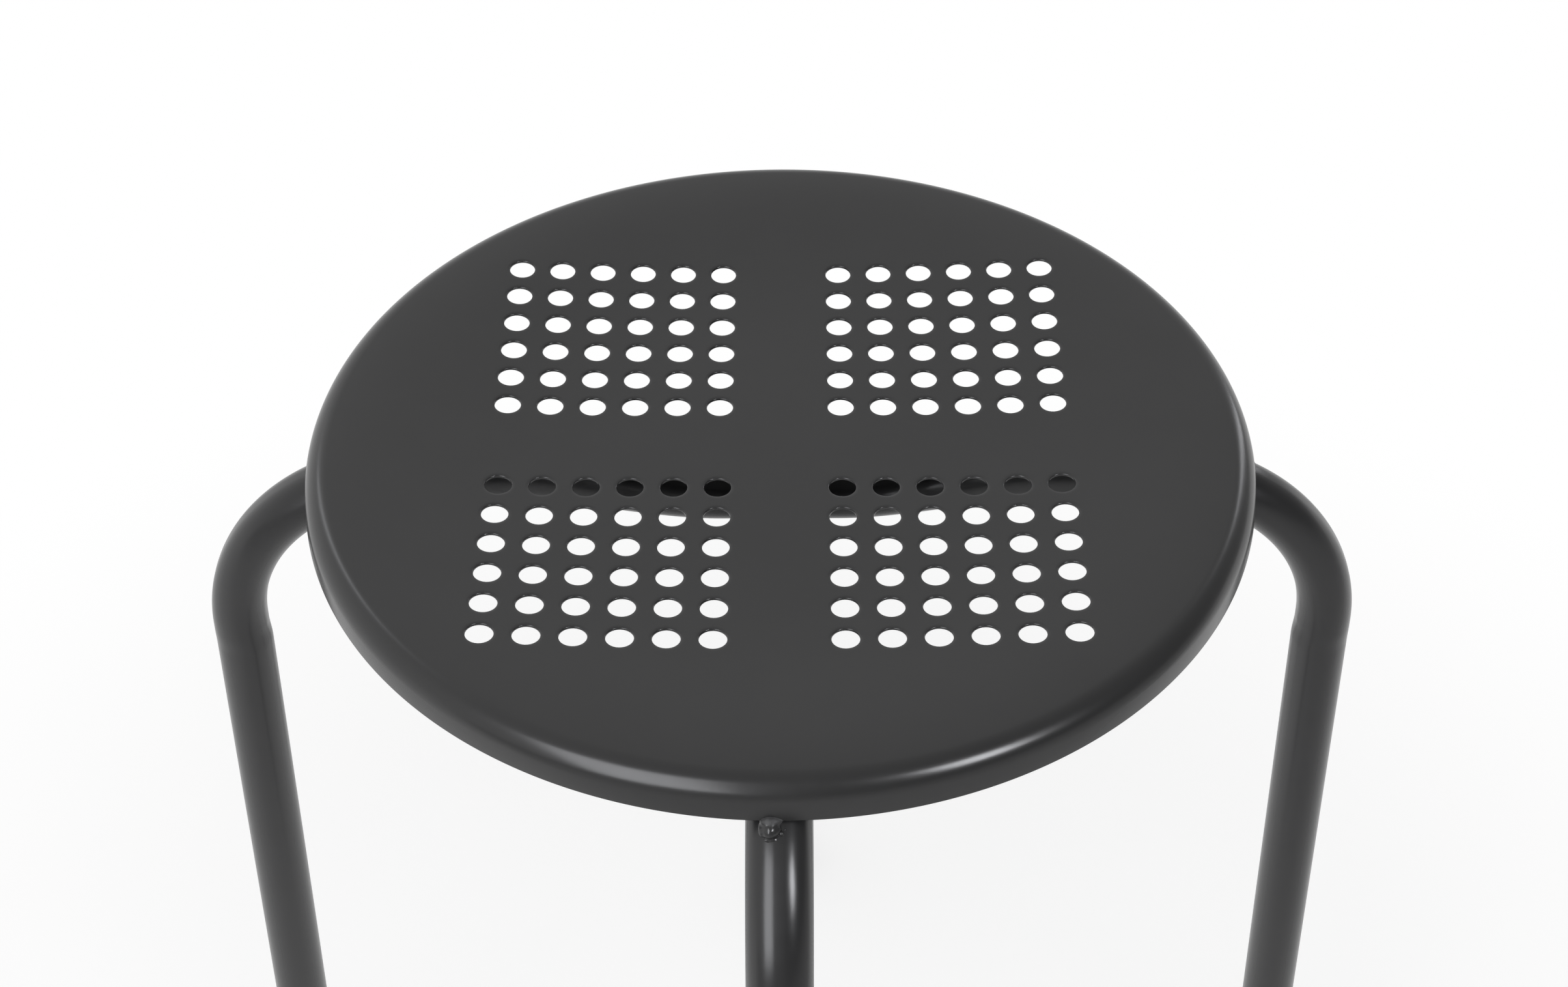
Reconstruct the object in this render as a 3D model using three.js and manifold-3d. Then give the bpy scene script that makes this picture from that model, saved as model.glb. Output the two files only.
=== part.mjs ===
// Stacking stool: a dished, perforated steel seat pan on two U-shaped steel tubes that cross under it.
// Millimetres, +Z up. The origin is on the floor under the middle of the seat, and the front faces -Y.

import * as THREE from "three";
import { mergeVertices } from "three/addons/utils/BufferGeometryUtils.js";
import Module from "manifold-3d";

const wasm = await Module();
wasm.setup();

// General
const gap = 0.3; // clearance between pieces that touch
const overrun = 5; // how far a cutting shape runs past what it cuts

// Seat pan
const seatHeight = 450; // from the floor to the crest of the rim
const seatDiameter = 320;
const seatSheet = 1;
const dishDepth = 5.2; // from the crest down to the middle of the seat
const dishPower = 2.15; // how late the dish steepens on its way to the rim
const rimRadius = 8;
const skirtStraight = 6; // straight wall under the rounded rim
const rimSteps = 4;
const panSides = 96; // of the round shape that trims the rim welds to the skirt
const dishSteps = 3;

// Holes in the seat, in four square groups round a bare cross
const holeDiameter = 9;
const holePitch = 14.6;
const crossWidth = 41.6; // between the rows of holes on both sides of the cross
const plainBand = 12; // least distance from a hole to the crest
const holeSides = 10;

// Tubes of the frames
const tubeDiameter = 20;
const tubeWall = 1.2;
const bendRadius = 70; // to the middle of the tube
const splayDegrees = 1.25; // how far a leg leans out
const skirtGap = 1.4; // from the edge of the skirt down to the tube, filled by a weld
const crimpHeight = 11.8; // thickness of a tube where the frames cross
const crimpFlat = 20; // from the middle of the stool to the end of the full crimp
const crimpRun = 70; // along which a tube becomes round again
const bendSquash = 1.2; // how much a tube is flattened on the inside of its bend
const squashRun = 8; // along which that flattening starts and ends
const tubeSides = 16;
const boreSides = 8;
const bendSteps = 10;
const crimpSteps = 6;

// Feet, plugs with a head under the leg and ribs inside it
const footProud = 0.8; // how far the head stands out past the tube
const footHead = 6; // height of the head
const footRound = 1.6; // rounding of the head's lower edge
const plugLength = 20;
const plugCore = 11; // diameter between the ribs
const ribHeight = 2;
const ribPitch = 5;
const ribFit = 0.05; // extra clearance of the ribs in the tube
const footSides = 12;

// Welds
const rimWeldLength = 9; // down the leg
const rimWeldWidth = 6.8;
const rimWeldThickness = 6.4;
const rimWeldLap = 1.9; // how far the bead reaches back past the edge of the skirt
const rimWeldShares = { right: -0.1, back: 0.26, left: 0.1, front: 0.26 }; // of the tube's radius, to the side
const crossWeldLength = 15;
const crossWeldWidth = 9;
const crossWeldThickness = 7;
const beadSides = 8;
const beadRings = 6;

// Sizes that follow
const seatRadius = seatDiameter / 2;
const crestRadius = seatRadius - rimRadius;
const skirtBottom = seatHeight - rimRadius - skirtStraight;
const holeRadius = holeDiameter / 2;
const tubeRadius = tubeDiameter / 2;
const frameTop = seatHeight - dishDepth - seatSheet - gap;
const tubeAxis = frameTop - tubeRadius;
const legTurn = THREE.MathUtils.degToRad(90 - splayDegrees);
const outerBend = bendRadius + tubeRadius;
const skirtTurn = Math.acos((skirtBottom - skirtGap - tubeAxis + bendRadius) / outerBend);
const bendStart = seatRadius - outerBend * Math.sin(skirtTurn);
const bendLength = bendRadius * legTurn;

// Materials
const coat = new THREE.MeshStandardMaterial({ color: 0x454546, roughness: 0.5, metalness: 0, flatShading: true });
const bead = new THREE.MeshStandardMaterial({ color: 0x3f3f41, roughness: 0.4, metalness: 0, flatShading: true });
const plastic = new THREE.MeshStandardMaterial({ color: 0x1b1b1c, roughness: 0.7, metalness: 0, flatShading: true });

// Helpers

function polar(radius, angle, height) {
  return new THREE.Vector3(radius * Math.cos(angle), radius * Math.sin(angle), height);
}

// A share from 0 to 1 that starts and ends level.
function smooth(share) {
  const held = THREE.MathUtils.clamp(share, 0, 1);
  return held * held * (3 - 2 * held);
}

function pushQuad(points, a, b, c, d) {
  points.push(a, b, c, a, c, d);
}

// A closed three.js geometry as a solid that can be joined and cut.
function toSolid(geometry) {
  const bare = new THREE.BufferGeometry().setAttribute("position", geometry.getAttribute("position"));
  bare.setIndex(geometry.getIndex());
  const merged = mergeVertices(bare);
  const corners = merged.getIndex().array;
  const kept = [];
  for (let i = 0; i < corners.length; i += 3) {
    const [a, b, c] = corners.slice(i, i + 3);
    if (a !== b && b !== c && c !== a) kept.push(a, b, c);
  }
  return new wasm.Manifold(
    new wasm.Mesh({
      numProp: 3,
      vertProperties: new Float32Array(merged.getAttribute("position").array),
      triVerts: new Uint32Array(kept),
    }),
  );
}

function toGeometry(solid) {
  const mesh = solid.getMesh();
  const geometry = new THREE.BufferGeometry();
  geometry.setAttribute("position", new THREE.BufferAttribute(new Float32Array(mesh.vertProperties), mesh.numProp));
  geometry.setIndex(new THREE.BufferAttribute(new Uint32Array(mesh.triVerts), 1));
  return geometry;
}

function makeMesh(name, geometry, material) {
  const mesh = new THREE.Mesh(geometry, material.clone());
  mesh.name = name;
  return mesh;
}

// Seat pan

// Height of the pan's upper face inside the crest.
function dishHeight(radius) {
  const turn = Math.PI * (radius / crestRadius) ** dishPower;
  return seatHeight - (dishDepth * (1 + Math.cos(turn))) / 2;
}

// The grid lines lie between the rows of holes, and one more runs through the middle of the bare cross.
function gridLines() {
  const farthestRow = (crestRadius - plainBand - holeRadius) / Math.SQRT2;
  const rows = Math.floor((farthestRow - crossWidth / 2) / holePitch) + 1;
  const outwards = [];
  for (let line = 0; line <= rows; line++) outwards.push(crossWidth / 2 + (line - 1 / 2) * holePitch);
  const inwards = outwards.map((place) => -place).reverse();
  return [...inwards, 0, ...outwards];
}

// Corners of one cell, anticlockwise from its upper right.
function cellCorners(lines, column, row) {
  const [left, right] = [lines[column], lines[column + 1]];
  const [front, back] = [lines[row], lines[row + 1]];
  return [
    [right, back],
    [left, back],
    [left, front],
    [right, front],
  ];
}

function holeRing(lines, column, row) {
  const x = (lines[column] + lines[column + 1]) / 2;
  const y = (lines[row] + lines[row + 1]) / 2;
  const ring = [];
  for (let side = 0; side < holeSides; side++) {
    const angle = (side / holeSides) * Math.PI * 2;
    ring.push([x + holeRadius * Math.cos(angle), y + holeRadius * Math.sin(angle)]);
  }
  return ring;
}

// The triangles of a cell round its hole, as places in the plane: each side of the hole goes to its nearest corner.
function holedCell(corners, ring) {
  const triangles = [];
  let corner = corners[corners.length - 1];
  ring.forEach((start, side) => {
    const end = ring[(side + 1) % ring.length];
    const quarter = Math.floor(((side + 1 / 2) / ring.length) * corners.length);
    const nearest = corners[quarter];
    if (nearest !== corner) triangles.push([corner, nearest, start]);
    triangles.push([end, start, nearest]);
    corner = nearest;
  });
  return triangles;
}

// Outline of the grid, anticlockwise.
function gridOutline(lines) {
  const last = lines.length - 1;
  const outline = [];
  for (let i = 0; i < last; i++) outline.push([lines[i], lines[0]]);
  for (let i = 0; i < last; i++) outline.push([lines[last], lines[i]]);
  for (let i = last; i > 0; i--) outline.push([lines[i], lines[last]]);
  for (let i = last; i > 0; i--) outline.push([lines[0], lines[i]]);
  return outline;
}

// The rim's profile from the crest out, down the skirt, round its edge and back up inside, as radius and height.
function rimProfile() {
  const centre = seatHeight - rimRadius;
  const outside = [];
  const inside = [];
  for (let step = 0; step <= rimSteps; step++) {
    const angle = (1 - step / rimSteps) * (Math.PI / 2);
    const inner = rimRadius - seatSheet;
    outside.push([crestRadius + rimRadius * Math.cos(angle), centre + rimRadius * Math.sin(angle)]);
    inside.push([crestRadius + inner * Math.cos(angle), centre + inner * Math.sin(angle)]);
  }
  return [...outside, [seatRadius, skirtBottom], [seatRadius - seatSheet, skirtBottom], ...inside.reverse()];
}

function seatPan() {
  const lines = gridLines();
  const middle = (lines.length - 1) / 2;
  const isBare = (cell) => cell === middle || cell === middle - 1;
  const flat = []; // triangles of the dish, as places in the plane, anticlockwise from above
  const holes = [];
  for (let column = 0; column + 1 < lines.length; column++) {
    for (let row = 0; row + 1 < lines.length; row++) {
      const corners = cellCorners(lines, column, row);
      if (isBare(column) || isBare(row)) {
        flat.push([corners[0], corners[1], corners[2]], [corners[0], corners[2], corners[3]]);
      } else {
        const ring = holeRing(lines, column, row);
        flat.push(...holedCell(corners, ring));
        holes.push(ring);
      }
    }
  }

  // Bands from the square outline of the grid to the round crest
  const outline = gridOutline(lines);
  const band = (place, share) => {
    const start = Math.hypot(place[0], place[1]);
    const radius = THREE.MathUtils.lerp(start, crestRadius, share);
    return [(place[0] / start) * radius, (place[1] / start) * radius];
  };
  outline.forEach((place, i) => {
    const next = outline[(i + 1) % outline.length];
    for (let step = 0; step < dishSteps; step++) {
      const [inner, outer] = [step / dishSteps, (step + 1) / dishSteps];
      const corners = [band(place, inner), band(place, outer), band(next, outer), band(next, inner)];
      flat.push([corners[0], corners[1], corners[2]], [corners[0], corners[2], corners[3]]);
    }
  });

  // Both faces of the sheet, and the wall of each hole
  const points = [];
  const upper = ([x, y]) => new THREE.Vector3(x, y, dishHeight(Math.hypot(x, y)));
  const lower = ([x, y]) => new THREE.Vector3(x, y, dishHeight(Math.hypot(x, y)) - seatSheet);
  for (const [a, b, c] of flat) {
    points.push(upper(a), upper(b), upper(c));
    points.push(lower(c), lower(b), lower(a));
  }
  for (const ring of holes) {
    ring.forEach((place, side) => {
      const next = ring[(side + 1) % ring.length];
      pushQuad(points, upper(place), upper(next), lower(next), lower(place));
    });
  }

  // The rim
  const profile = rimProfile();
  const angles = outline.map(([x, y]) => Math.atan2(y, x));
  angles.forEach((angle, i) => {
    const next = angles[(i + 1) % angles.length];
    for (let step = 0; step + 1 < profile.length; step++) {
      const [near, far] = [profile[step], profile[step + 1]];
      const start = [polar(near[0], angle, near[1]), polar(far[0], angle, far[1])];
      const end = [polar(near[0], next, near[1]), polar(far[0], next, far[1])];
      pushQuad(points, start[0], start[1], end[1], end[0]);
    }
  });
  return toSolid(new THREE.BufferGeometry().setFromPoints(points));
}

// Frames

// Place of the tube's centreline at a distance along it from the middle of the stool, with its turn downwards.
function centreline(distance) {
  const along = Math.abs(distance);
  const turn = THREE.MathUtils.clamp((along - bendStart) / bendRadius, 0, legTurn);
  const straight = Math.min(along, bendStart);
  const leg = Math.max(along - bendStart - bendLength, 0);
  const side = Math.sign(distance);
  return {
    out: side * (straight + bendRadius * Math.sin(turn) + leg * Math.cos(turn)),
    up: tubeAxis - bendRadius * (1 - Math.cos(turn)) - leg * Math.sin(turn),
    turn: side * turn,
  };
}

function crimpShare(distance) {
  return 1 - smooth((Math.abs(distance) - crimpFlat) / crimpRun);
}

function squashShare(distance) {
  const along = Math.abs(distance) - bendStart;
  return smooth(along / squashRun) * smooth((bendLength - along) / squashRun);
}

const bendEnd = centreline(bendStart + bendLength);
const legDrop = Math.cos(THREE.MathUtils.degToRad(splayDegrees));
const legToFloor = bendEnd.up / legDrop;
const legLength = legToFloor - footHead - gap;
const floorRadius = bendEnd.out + legToFloor * Math.sin(THREE.MathUtils.degToRad(splayDegrees));
const frameEnd = bendStart + bendLength + legLength;

// Distances of the rings that a frame is lofted through, from one end to the other.
function frameStations(end) {
  const half = [];
  for (let step = 0; step <= crimpSteps; step++) half.push(crimpFlat + (crimpRun * step) / crimpSteps);
  for (let step = 0; step <= bendSteps; step++) half.push(bendStart + (bendLength * step) / bendSteps);
  half.push(end);
  half.sort((a, b) => a - b);
  return [...half.map((place) => -place).reverse(), ...half];
}

// One frame in the XZ plane as a solid bar. The crimp is lowered by the sink. The bar is larger all round by the
// growth, which is negative for the bore, and longer at both ends by the extra.
function frameBar(sink, growth, sides, extra) {
  const rings = frameStations(frameEnd + extra).map((distance) => {
    const { out, up, turn } = centreline(distance);
    const crimped = crimpShare(distance);
    const squashed = squashShare(distance);
    const half = tubeRadius - crimped * (tubeRadius - crimpHeight / 2) - (squashed * bendSquash) / 2;
    const flat = (Math.PI / 2) * (tubeRadius - half); // the tube keeps its girth
    const lift = tubeRadius - half - crimped * sink;
    const ring = [];
    for (let side = 0; side < sides; side++) {
      const angle = ((side + 1 / 2) / sides) * Math.PI * 2;
      const across = Math.sign(Math.cos(angle)) * flat + (half + growth) * Math.cos(angle);
      const away = lift + (half + growth) * Math.sin(angle);
      ring.push(new THREE.Vector3(out + away * Math.sin(turn), across, up + away * Math.cos(turn)));
    }
    return ring;
  });
  const points = [];
  for (let i = 0; i + 1 < rings.length; i++) {
    for (let side = 0; side < sides; side++) {
      const next = (side + 1) % sides;
      pushQuad(points, rings[i][side], rings[i][next], rings[i + 1][next], rings[i + 1][side]);
    }
  }
  const [first, last] = [rings[0], rings[rings.length - 1]];
  for (let side = 1; side + 1 < sides; side++) {
    points.push(first[0], first[side + 1], first[side]);
    points.push(last[0], last[side], last[side + 1]);
  }
  return toSolid(new THREE.BufferGeometry().setFromPoints(points));
}

function frame(sink) {
  return frameBar(sink, 0, tubeSides, 0).subtract(frameBar(sink, -tubeWall, boreSides, overrun));
}

const upperSink = 0;
const lowerSink = crimpHeight + gap;

// Feet

// Half of a foot's outline, from the middle of its sole to the top of the plug. The sole starts below the floor,
// because the leg leans and the floor then cuts the sole level.
function footProfile() {
  const headRadius = tubeRadius + footProud;
  const boreFlat = (tubeRadius - tubeWall) * Math.cos(Math.PI / boreSides);
  const ribRadius = boreFlat - gap - ribFit;
  const coreRadius = plugCore / 2;
  const profile = [
    [0, -overrun],
    [headRadius - footRound, -overrun],
    [headRadius - footRound, 0],
    [headRadius, footRound],
    [headRadius, footHead],
    [coreRadius, footHead],
  ];
  const ribs = Math.floor((plugLength - ribHeight) / ribPitch);
  for (let rib = 1; rib <= ribs; rib++) {
    const start = footHead + rib * ribPitch - ribHeight / 2;
    profile.push([coreRadius, start], [ribRadius, start + ribHeight / 2], [coreRadius, start + ribHeight]);
  }
  profile.push([coreRadius, footHead + plugLength], [0, footHead + plugLength]);
  return profile.map(([radius, height]) => new THREE.Vector2(radius, height));
}

// The foot of the leg that stands towards +X.
function foot() {
  const turned = new THREE.LatheGeometry(footProfile(), footSides);
  turned.rotateX(Math.PI / 2);
  turned.rotateY(-THREE.MathUtils.degToRad(splayDegrees));
  turned.translate(floorRadius, 0, 0);
  const reach = tubeDiameter + overrun;
  const floor = new THREE.BoxGeometry(reach * 2, reach * 2, reach);
  floor.translate(floorRadius, 0, -reach / 2);
  return toSolid(turned).subtract(toSolid(floor));
}

// Welds

function beadBall(length, width, thickness) {
  const ball = new THREE.SphereGeometry(1 / 2, beadSides, beadRings);
  ball.scale(length, width, thickness);
  return ball;
}

// The bead between the skirt and the leg that stands towards +X, moved clockwise by a share of the tube's radius.
function rimWeld(sideShare) {
  const turn = skirtTurn + (rimWeldLength / 2 - rimWeldLap) / outerBend;
  const ball = beadBall(rimWeldLength, rimWeldWidth, rimWeldThickness);
  ball.rotateY(turn);
  ball.translate(
    bendStart + outerBend * Math.sin(turn),
    -sideShare * tubeRadius,
    tubeAxis - bendRadius + outerBend * Math.cos(turn),
  );
  const inPan = new THREE.CylinderGeometry(seatRadius + gap, seatRadius + gap, seatHeight, panSides);
  inPan.rotateX(Math.PI / 2);
  inPan.translate(0, 0, skirtBottom - gap + seatHeight / 2);
  return toSolid(ball).subtract(toSolid(inPan)).subtract(frameBar(upperSink, gap, tubeSides, 0));
}

// The bead on the +X side of the upper tube, where it lies on the lower one.
function crossWeld() {
  const halfCrimp = crimpHeight / 2;
  const crimpEdge = (Math.PI / 2) * (tubeRadius - halfCrimp) + halfCrimp;
  const ball = beadBall(crossWeldWidth, crossWeldLength, crossWeldThickness);
  ball.translate(crimpEdge, 0, frameTop - crimpHeight);
  const upper = toSolid(toGeometry(frameBar(upperSink, gap, tubeSides, 0)).rotateZ(Math.PI / 2));
  const lower = frameBar(lowerSink, gap, tubeSides, 0);
  return toSolid(ball).subtract(upper).subtract(lower);
}

// Assembly

const stool = new THREE.Group();
stool.add(makeMesh("seat_pan", toGeometry(seatPan()), coat));
stool.add(makeMesh("side_frame", toGeometry(frame(lowerSink)), coat));

const frontBack = makeMesh("front_back_frame", toGeometry(frame(upperSink)), coat);
frontBack.rotation.z = Math.PI / 2;
stool.add(frontBack);

const footGeometry = toGeometry(foot());
const crossWeldGeometry = toGeometry(crossWeld());
["right", "back", "left", "front"].forEach((side, quarter) => {
  const leg = new THREE.Group();
  leg.rotation.z = (quarter * Math.PI) / 2;
  leg.add(makeMesh("foot_" + side, footGeometry, plastic));
  leg.add(makeMesh("rim_weld_" + side, toGeometry(rimWeld(rimWeldShares[side])), bead));
  stool.add(leg);
});
["right", "left"].forEach((side, half) => {
  const weld = makeMesh("crossing_weld_" + side, crossWeldGeometry, bead);
  weld.rotation.z = half * Math.PI;
  stool.add(weld);
});

export default stool;
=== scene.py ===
# Looks of the stacking stool: a dished, perforated steel seat on two crossing bent tubes, all in one dark grey
# powder coat, with plastic feet. Metres, +Z up. The stool faces -Y, and its legs stand on the X and Y axes.

import math

import bmesh
import bpy
import numpy as np
from mathutils import Matrix, Vector


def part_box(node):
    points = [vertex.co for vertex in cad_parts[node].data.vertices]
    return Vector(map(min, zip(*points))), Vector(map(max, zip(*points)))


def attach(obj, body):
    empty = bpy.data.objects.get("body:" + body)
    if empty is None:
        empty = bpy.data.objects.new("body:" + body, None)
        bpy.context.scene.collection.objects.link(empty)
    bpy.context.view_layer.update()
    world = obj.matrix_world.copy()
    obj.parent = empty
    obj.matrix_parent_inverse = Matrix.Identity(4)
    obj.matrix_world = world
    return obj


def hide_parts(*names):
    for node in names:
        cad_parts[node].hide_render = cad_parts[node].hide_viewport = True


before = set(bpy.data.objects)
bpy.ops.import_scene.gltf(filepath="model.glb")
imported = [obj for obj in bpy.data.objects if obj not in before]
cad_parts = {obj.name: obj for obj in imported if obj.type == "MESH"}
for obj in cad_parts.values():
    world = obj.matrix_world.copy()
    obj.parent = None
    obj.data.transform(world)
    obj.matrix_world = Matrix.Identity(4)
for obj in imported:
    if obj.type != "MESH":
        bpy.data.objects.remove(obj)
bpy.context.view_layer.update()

MM = 0.001

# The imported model's sizes
pan_low, pan_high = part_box("seat_pan")
foot_low, foot_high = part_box("foot_right")
SEAT_RADIUS = pan_high.x
SEAT_HEIGHT = pan_high.z
SKIRT_BOTTOM = pan_low.z

# Seat pan
GAP = 0.3 * MM  # between pieces that touch
SHEET = 1 * MM
DISH_DEPTH = 5.2 * MM
DISH_POWER = 2.15  # how late the dish steepens on its way to the rim
RIM_RADIUS = 8 * MM
SKIRT_LEAN = math.radians(4)  # out from upright, below the rim's roll
SHEET_EDGE = 0.4 * MM  # rounding of the skirt's cut edge
CREST_RADIUS = SEAT_RADIUS - RIM_RADIUS
SKIRT_SLANT = math.tan(SKIRT_LEAN)
SKIRT_TOP = SEAT_HEIGHT - RIM_RADIUS * (1 - math.sin(SKIRT_LEAN))
EDGE_RADIUS = CREST_RADIUS + RIM_RADIUS * math.cos(SKIRT_LEAN) + (SKIRT_TOP - SKIRT_BOTTOM) * SKIRT_SLANT
DISH_STEPS = 10
RIM_STEPS = 18
EDGE_STEPS = 8  # along each side of a cell of the grid of holes

# Holes
HOLE_RADIUS = 4.5 * MM
HOLE_PITCH = 14.6 * MM
CROSS_WIDTH = 41.6 * MM  # between the rows of holes on both sides of the bare cross
PLAIN_BAND = 12 * MM  # least distance from a hole to the crest
DRAW_WIDTH = 0.9 * MM  # band round a hole in which the punch has drawn the sheet down
DRAW_DEPTH = 0.1 * MM
UPPER_ROUND = 0.42 * MM  # rounding of a hole's upper edge
LOWER_ROUND = 0.15 * MM
CELL_STEPS = 3
DRAW_STEPS = 4
ROUND_STEPS = 5

# Tubes
TUBE_RADIUS = 10 * MM
TUBE_WALL = 1.2 * MM
BEND_RADIUS = 70 * MM
SPLAY = math.radians(1.25)
SKIRT_GAP = 1.4 * MM  # from the edge of the skirt down to the tube
CRIMP_HEIGHT = 11.8 * MM
CRIMP_FLAT = 20 * MM
CRIMP_RUN = 70 * MM
BEND_SQUASH = 1.2 * MM  # in the middle of the bend
LEAST_SQUASH_SHARE = 0.6  # of it, at the ends of the bend
SQUASH_START_RUN = 8 * MM
SQUASH_END_RUN = 9 * MM
SQUASH_OVERRUN = 11 * MM  # past the bend's end
CUT_ROUND = 0.3 * MM  # rounding of the tube's cut end
TUBE_SIDES = 72
CRIMP_STEPS = 34
BEND_STEPS = 150
OVERRUN_STEPS = 30
LEG_STEPS = 6

# Feet
FOOT_ROUND = 1.6 * MM
FOOT_TOP_ROUND = 0.5 * MM
FOOT_HEAD = 6 * MM
PLUG_LENGTH = 20 * MM
PLUG_CORE_RADIUS = 5.5 * MM
RIB_RADIUS = 8.3 * MM
RIB_HEIGHT = 2 * MM
RIB_PITCH = 5 * MM
FOOT_SIDES = 72
FOOT_ROUND_STEPS = 8

# Sizes that follow
FRAME_TOP = SEAT_HEIGHT - DISH_DEPTH - SHEET - GAP
TUBE_AXIS = FRAME_TOP - TUBE_RADIUS
OUTER_BEND = BEND_RADIUS + TUBE_RADIUS
LEG_TURN = math.pi / 2 - SPLAY
BEND_LENGTH = BEND_RADIUS * LEG_TURN
SKIRT_TURN = math.acos((SKIRT_BOTTOM - SKIRT_GAP - TUBE_AXIS + BEND_RADIUS) / OUTER_BEND)
BEND_START = SEAT_RADIUS - OUTER_BEND * math.sin(SKIRT_TURN)
BEND_CENTRE_HEIGHT = TUBE_AXIS - BEND_RADIUS
LEG_LENGTH = (BEND_CENTRE_HEIGHT + BEND_RADIUS * math.cos(LEG_TURN)) / math.cos(SPLAY) - FOOT_HEAD - GAP
FOOT_RADIUS = (foot_high.y - foot_low.y) / 2
FOOT_PLACE = foot_high.x - FOOT_RADIUS

SIDES = ("right", "back", "left", "front")


# Meshes

class Skin:
    """Points and quads of one mesh, gathered band by band."""

    def __init__(self):
        self.points = []
        self.quads = []
        self.count = 0

    def add(self, points, quads):
        self.points.append(points)
        self.quads.append(quads + self.count)
        self.count += len(points)

    def band(self, rings, closed=True):
        """Quads between each ring of points and the next. An open band leaves out the ring's last side."""
        rings = np.asarray(rings)
        rows, columns = rings.shape[:2]
        ids = np.arange(rows * columns).reshape(rows, columns)
        nexts = np.roll(ids, -1, axis=1)
        if not closed:
            ids, nexts = ids[:, :-1], nexts[:, :-1]
        quads = np.stack([ids[:-1], nexts[:-1], nexts[1:], ids[1:]], axis=-1)
        self.add(rings.reshape(-1, 3), quads.reshape(-1, 4))


WELD_DISTANCE = 0.002 * MM  # points closer than this become one


def make_piece(name, skin, material, slot, *nodes):
    """The skin as one smooth mesh that rides on the stool and stands for the CAD nodes."""
    mesh = bpy.data.meshes.new(name)
    points = np.concatenate(skin.points)
    quads = np.concatenate(skin.quads)
    mesh.from_pydata(points.tolist(), [], quads.tolist())
    work = bmesh.new()
    work.from_mesh(mesh)
    bmesh.ops.remove_doubles(work, verts=work.verts, dist=WELD_DISTANCE)
    bmesh.ops.recalc_face_normals(work, faces=work.faces)
    for face in work.faces:
        face.smooth = True
    work.to_mesh(mesh)
    work.free()
    mesh.materials.append(material)
    piece = bpy.data.objects.new(name, mesh)
    bpy.context.scene.collection.objects.link(piece)
    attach(piece, "root")
    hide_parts(*nodes)


def smooth(share):
    """A share from 0 to 1 that starts and ends level."""
    held = np.clip(share, 0, 1)
    return held * held * (3 - 2 * held)


def quarter_turn(points, quarter):
    """Points of the leg towards +X, turned to the leg of that quarter."""
    turn = np.array(Matrix.Rotation(quarter * math.pi / 2, 3, "Z"))
    return points @ turn.T


# Seat pan

def dish_height(radius):
    """Height of the pan's upper face inside the crest."""
    turn = math.pi * (radius / CREST_RADIUS) ** DISH_POWER
    return SEAT_HEIGHT - DISH_DEPTH * (1 + np.cos(turn)) / 2


def on_dish(places, depth=0.0):
    """Places in the plane, put on the dish or as deep below its upper face as the depth says."""
    heights = dish_height(np.hypot(places[..., 0], places[..., 1])) - depth
    return np.concatenate([places, heights[..., None]], axis=-1)


def grid_lines():
    """Lines between the rows of holes, and one through the middle of the bare cross."""
    farthest_row = (CREST_RADIUS - PLAIN_BAND - HOLE_RADIUS) / math.sqrt(2)
    rows = int((farthest_row - CROSS_WIDTH / 2) / HOLE_PITCH) + 1
    outwards = [CROSS_WIDTH / 2 + (line - 0.5) * HOLE_PITCH for line in range(rows + 1)]
    return [-place for place in reversed(outwards)] + [0.0] + outwards


def square_loop(left, right, front, back):
    """Places along a square's sides, anticlockwise from its back right corner."""
    corners = np.array([(right, back), (left, back), (left, front), (right, front)])
    shares = (np.arange(EDGE_STEPS) / EDGE_STEPS)[:, None]
    sides = [start + shares * (end - start) for start, end in zip(corners, np.roll(corners, -1, axis=0))]
    return np.concatenate(sides)


def round_loop(centre, radius):
    """Places round a circle, as many as a square loop has, from the same corner."""
    angles = math.pi / 4 + 2 * math.pi * np.arange(4 * EDGE_STEPS) / (4 * EDGE_STEPS)
    return centre + radius * np.stack([np.cos(angles), np.sin(angles)], axis=-1)


def hole_profile():
    """Radius and depth of the rings in a hole, from the plain sheet over the edge and down through it."""
    edge = HOLE_RADIUS + UPPER_ROUND
    profile = []
    for step in range(DRAW_STEPS):
        share = step / DRAW_STEPS
        profile.append((edge + DRAW_WIDTH * (1 - share), DRAW_DEPTH * share * share))
    for step in range(ROUND_STEPS + 1):
        angle = step / ROUND_STEPS * math.pi / 2
        radius = edge - UPPER_ROUND * math.sin(angle)
        profile.append((radius, DRAW_DEPTH + UPPER_ROUND * (1 - math.cos(angle))))
    for step in range(ROUND_STEPS + 1):
        angle = step / ROUND_STEPS * math.pi / 2
        radius = HOLE_RADIUS + LOWER_ROUND * (1 - math.cos(angle))
        profile.append((radius, SHEET - LOWER_ROUND * (1 - math.sin(angle))))
    return profile


def holed_cell(skin, left, right, front, back):
    """One cell of the grid with its hole, through both faces of the sheet."""
    square = square_loop(left, right, front, back)
    centre = np.array([(left + right) / 2, (front + back) / 2])
    profile = hole_profile()
    outer = round_loop(centre, profile[0][0])
    inner = round_loop(centre, profile[-1][0])
    shares = [step / CELL_STEPS for step in range(CELL_STEPS)]
    rings = [on_dish(square + (outer - square) * share) for share in shares]
    rings += [on_dish(round_loop(centre, radius), depth) for radius, depth in profile]
    rings += [on_dish(inner + (square - inner) * (1 - share), SHEET) for share in reversed(shares)]
    skin.band(rings)


def bare_cell(skin, left, right, front, back):
    """One cell of the bare cross, both faces of the sheet."""
    columns = np.linspace(left, right, EDGE_STEPS + 1)
    rows = np.linspace(front, back, EDGE_STEPS + 1)
    places = np.stack(np.meshgrid(columns, rows), axis=-1)
    skin.band(on_dish(places), closed=False)
    skin.band(on_dish(places, SHEET), closed=False)


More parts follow.
